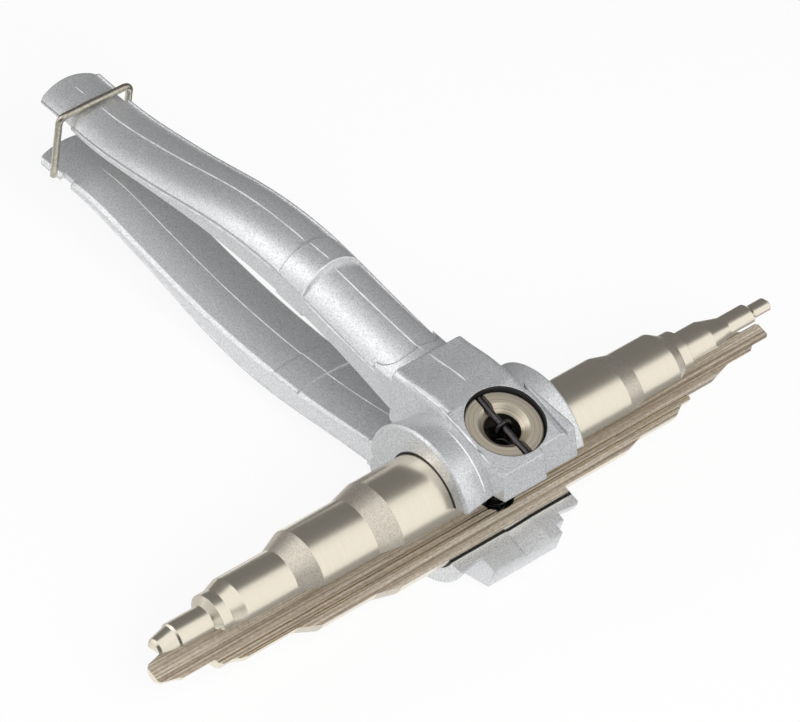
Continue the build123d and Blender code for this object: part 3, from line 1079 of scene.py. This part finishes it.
BACKDROP_CARD = Card(
    name="backdrop_card",
    grey=0.19,
    sheet=((0.04, 0.25), (0.04, 0.0), (1.07, -0.22), (-0.25, 0.99)),
    wall=((0.79, -0.455), (-0.46, 0.7)),
    height=1.0,
)
MAT_CARD = Card(
    name="mat_card",
    grey=0.3,
    sheet=((-0.2, -0.0885), (-0.2, -0.36), (0.5, -0.36), (0.35, -0.0885)),
)
SIDE_CARD = Card(
    name="side_card",
    grey=0.62,
    sheet=((-0.02, -0.05), (-0.1, 1.2), (-1.2, 0.9), (-1.2, -0.03)),
    wall=((-1.2, 0.9), (-1.2, -0.03)),
    height=0.35,
)
NEAR_CARD = Card(
    name="near_card",
    grey=0.14,
    sheet=((-0.14, -0.16), (-1.1, -0.03), (-0.3, -1.1)),
    wall=((-1.1, -0.03), (-0.3, -1.1)),
    height=0.75,
)


@dataclass(frozen=True)
class Lamp:
    """Square soft lamp that faces the hinge.

    Args:
        name: the lamp's name.
        offset: its place from the hinge, in metres.
        size: side of the square.
        power: in watts.
        mirrored: whether metal shows it.
    """

    name: str
    offset: Point
    size: float
    power: float
    mirrored: bool

    def build(self, aim: Vector) -> None:
        """Put the lamp up.

        Args:
            aim: the point that it faces.
        """
        data = bpy.data.lights.new(self.name, "AREA")
        data.size = self.size
        data.energy = self.power
        made = bpy.data.objects.new(self.name, data)
        made.location = aim + Vector(self.offset)
        made.visible_glossy = self.mirrored
        made.rotation_mode = "QUATERNION"
        made.rotation_quaternion = (aim - made.location).to_track_quat("-Z", "Y")
        bpy.context.scene.collection.objects.link(made)


KEY_LAMP = Lamp("key", (-0.33, -0.83, 0.72), size=0.8, power=12.5, mirrored=False)
RIM_LAMP = Lamp("rim", (-0.56, 0.59, 0.74), size=0.45, power=0.9, mirrored=True)


@dataclass(frozen=True)
class Studio:
    """White studio with a pale floor, soft lamps and grey cards that only metal mirrors."""

    floor_half: float = 3.0
    floor_gap: float = 0.0002
    floor_colour: Colour = (0.92, 0.92, 0.92)
    floor_roughness: float = 0.9
    floor_glow: float = 0.88
    sky_strength: float = 0.42
    cards: tuple[Card, ...] = (BACKDROP_CARD, MAT_CARD, SIDE_CARD, NEAR_CARD)
    lamps: tuple[Lamp, ...] = (KEY_LAMP, RIM_LAMP)

    def floor(self) -> None:
        """Pale floor, nearly white to the camera, with the tool's soft shadow."""
        half, level = self.floor_half, -self.floor_gap
        corners = [(-half, -half, level), (half, -half, level), (half, half, level), (-half, half, level)]
        made = add_mesh("floor", corners, [(0, 1, 2, 3)])
        made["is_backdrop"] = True
        look = Finish("studio_floor")
        look.paint(self.floor_colour, 0.0, self.floor_roughness)
        glow = look.node("ShaderNodeEmission")
        share = look.maths("MULTIPLY", look.white_share(), self.floor_glow)
        both = look.mix_shaders(share, look.shader.outputs[0], glow.outputs[0])
        look.join(both, look.output.inputs["Surface"])
        made.data.materials.append(look.material)

    def sky(self) -> None:
        """World: white where it is seen, plain light elsewhere."""
        world = bpy.data.worlds.new("studio")
        bpy.context.scene.world = world
        world.use_nodes = True
        look = Graph(world.node_tree)
        plain, white = look.node("ShaderNodeBackground"), look.node("ShaderNodeBackground")
        for made, strength in ((plain, self.sky_strength), (white, 1.0)):
            made.inputs["Color"].default_value = (1.0, 1.0, 1.0, 1.0)
            made.inputs["Strength"].default_value = strength
        both = look.mix_shaders(look.white_share(), plain.outputs[0], white.outputs[0])
        look.join(both, look.node("ShaderNodeOutputWorld").inputs["Surface"])

    def build(self, aim: Vector) -> None:
        """Put up floor, cards, sky and lamps.

        Args:
            aim: the point that the lamps face.
        """
        self.floor()
        for card in self.cards:
            card.build()
        self.sky()
        for lamp in self.lamps:
            lamp.build(aim)
        bpy.context.scene.view_settings.view_transform = "Standard"


@dataclass(frozen=True)
class Viewpoint:
    """Camera at the photograph's place, in degrees and millimetres of the half-open design frame."""

    azimuth: float = -43.18
    elevation: float = 42.83
    roll: float = 4.07
    place: Point = (-535.4, -538.1, 736.2)
    lens: float = 210.3
    sensor: float = 36.0
    nearest: float = 10.0

    def axes(self) -> tuple[Vector, Vector, Vector]:
        """Directions to the camera's right, up and back, in the half-open design frame.

        Returns:
            The three directions.
        """
        azimuth, elevation = math.radians(self.azimuth), math.radians(self.elevation)
        level_share = math.cos(elevation)
        back = Vector(
            (math.sin(azimuth) * level_share, -math.cos(azimuth) * level_share, math.sin(elevation))
        )
        level = Vector((0.0, 0.0, 1.0)).cross(back).normalized()
        turn = math.radians(self.roll)
        right = level * math.cos(turn) + back.cross(level) * math.sin(turn)
        return right, back.cross(right), back

    def build(self, pose: ToolPose) -> None:
        """Make the camera.

        Args:
            pose: where the tool lies.
        """
        axes = Matrix([pose.turned(axis) for axis in self.axes()]).transposed()
        data = bpy.data.cameras.new("camera")
        data.lens = self.lens
        data.sensor_width = self.sensor
        data.sensor_fit = "HORIZONTAL"
        data.clip_start = self.nearest * MM
        made = bpy.data.objects.new("camera", data)
        made.matrix_world = Matrix.Translation(pose.half_open(*self.place)) @ axes.to_4x4()
        bpy.context.scene.collection.objects.link(made)
        bpy.context.scene.camera = made


def main() -> None:
    """Load the frame, dress every piece, and set up the studio."""
    logging.basicConfig(level=logging.INFO, format="%(name)s: %(message)s")
    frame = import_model()
    cad_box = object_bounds()
    nodes = frame["nodes"]
    pose = ToolPose.from_joints(frame["joints"])
    ridge_highlight_metal = SEAM_SILVER_HIGHLIGHT.make()
    levels = (cad_box[0][2], cad_box[1][2])
    for side in Side:
        casting = Casting(side, pose, nodes[side.handle_node])
        casting.dress(SilverCasting().make(pose, side), ridge_highlight_metal, levels)
        wear(nodes[f"{side.body}_mandrel_half"], SatinNickel().make(pose, side))
        wear(nodes[f"{side.body}_jaw_screw"], TurnedScrew().make(pose, side))
        LOG.info("%s mandrel half and screw finished", side.body)
    metals: dict[str, Callable[[], bpy.types.Material]] = {
        "upper_spring_pin": BLACKENED.make,
        "lower_spring_pin": BLACKENED.make,
        "hinge_pin": GROUND_STEEL.make,
        "handle_latch_loop": WIRE_STEEL.make,
    }
    for name, make in metals.items():
        wear(nodes[name], make())
        LOG.info("%s finished", name)
    spring = ReturnSpring().build(pose, nodes["return_spring"])
    LOG.info("%s finished", spring.name)
    Studio().build(pose.hinge)
    Viewpoint().build(pose)


if __name__ == "__main__":
    main()
